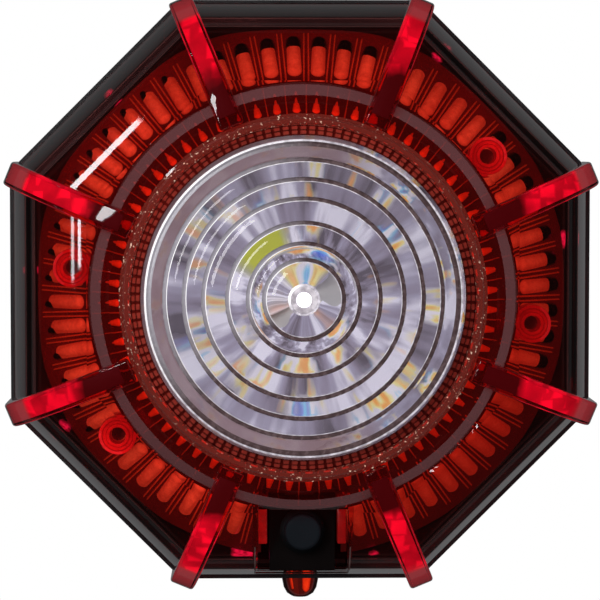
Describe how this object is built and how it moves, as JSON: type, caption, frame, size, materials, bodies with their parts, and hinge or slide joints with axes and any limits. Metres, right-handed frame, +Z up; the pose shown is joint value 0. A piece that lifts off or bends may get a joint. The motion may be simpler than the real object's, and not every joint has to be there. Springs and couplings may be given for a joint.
{
  "type": "horn strobe",
  "caption": "Octagonal wall horn strobe: clear red ribbed cover over a fluted ring, round stepped strobe lens, recessed push button and a small status nose below.",
  "frame": {"origin": "centre of the wall plate's back face", "axes": "+Z up the wall with the button at the bottom, +Y into the wall, the lens faces -Y"},
  "size_m": [0.1114, 0.0445, 0.1153],
  "materials": {
    "black_plastic": "fine moulded texture, black",
    "red_cover": "clear crimson polycarbonate, polished",
    "flute_red": "clear orange-red polycarbonate with moulded pockets",
    "clear_lens": "clear polycarbonate, polished steps",
    "nose_red": "clear orange-red light pipe, polished",
    "bright_reflector": "vacuum metallised, bright",
    "seal_rubber": "black foam and silicone seal",
    "cap_rubber": "soft dark slate rubber",
    "switch_plastic": "black housing, half gloss",
    "board_mask": "green solder mask",
    "white_mask": "white solder mask",
    "plain_aluminium": "turned and brushed",
    "led_phosphor": "yellow phosphor under a clear dome",
    "zinc_steel": "bright zinc plated",
    "piezo_brass": "rolled brass disc with a ceramic layer",
    "grey_plastic": "moulded grey",
    "terminal_plastic": "green terminal housing",
    "dip_plastic": "red switch housing",
    "white_plastic": "white levers and rotor",
    "trimmer_blue": "blue trimmer housing",
    "can_sleeve": "shrunk sleeve over an aluminium can",
    "chip_black": "moulded black packages"
  },
  "bodies": {
    "housing": {"wall_plate": "black_plastic", "base_tray": "black_plastic", "tray_gasket": "seal_rubber", "front_cover": "red_cover", "fluted_ring": "flute_red", "strobe_lens": "clear_lens", "lens_gasket": "seal_rubber", "reflector": "bright_reflector", "heat_sink": "plain_aluminium", "led_board": "white_mask", "strobe_led": "led_phosphor", "cover_screws": "zinc_steel", "board_screws": "zinc_steel", "lock_screw": "zinc_steel", "main_board": "board_mask", "storage_capacitor": "can_sleeve", "boost_inductor": "chip_black", "control_chip": "chip_black", "chip_parts": "chip_black", "sounder_cup": "grey_plastic", "piezo_disc": "piezo_brass", "sounder_ring": "grey_plastic", "terminal_block": "terminal_plastic", "terminal_screws": "zinc_steel", "tone_switch_body": "dip_plastic", "volume_trimmer_body": "trimmer_blue", "push_switch_body": "switch_plastic", "switch_contact": "piezo_brass", "indicator_nose": "nose_red", "indicator_led": "white_mask"},
    "push_button": {"button_cap": "cap_rubber", "switch_plunger": "white_plastic"},
    "volume_rotor": {"volume_rotor": "white_plastic"},
    "tone_lever_1": {"tone_lever_1": "white_plastic"},
    "tone_lever_2": {"tone_lever_2": "white_plastic"},
    "tone_lever_3": {"tone_lever_3": "white_plastic"},
    "tone_lever_4": {"tone_lever_4": "white_plastic"}
  },
  "joints": [
    {"name": "button_press", "type": "slide", "parent": "housing", "child": "push_button", "axis": [0, 1, 0], "range_m": [0, 0.0015], "stiffness_N_per_m": 800, "springref_m": -0.001},
    {"name": "volume_turn", "type": "hinge", "parent": "housing", "child": "volume_rotor", "pos_m": [0.008, -0.008, -0.012], "axis": [0, -1, 0], "range_deg": [-135, 135]},
    {"name": "tone_1_slide", "type": "slide", "parent": "housing", "child": "tone_lever_1", "axis": [0, 0, 1], "range_m": [0, 0.0016]},
    {"name": "tone_2_slide", "type": "slide", "parent": "housing", "child": "tone_lever_2", "axis": [0, 0, 1], "range_m": [0, 0.0016]},
    {"name": "tone_3_slide", "type": "slide", "parent": "housing", "child": "tone_lever_3", "axis": [0, 0, 1], "range_m": [0, 0.0016]},
    {"name": "tone_4_slide", "type": "slide", "parent": "housing", "child": "tone_lever_4", "axis": [0, 0, 1], "range_m": [0, 0.0016]}
  ]
}
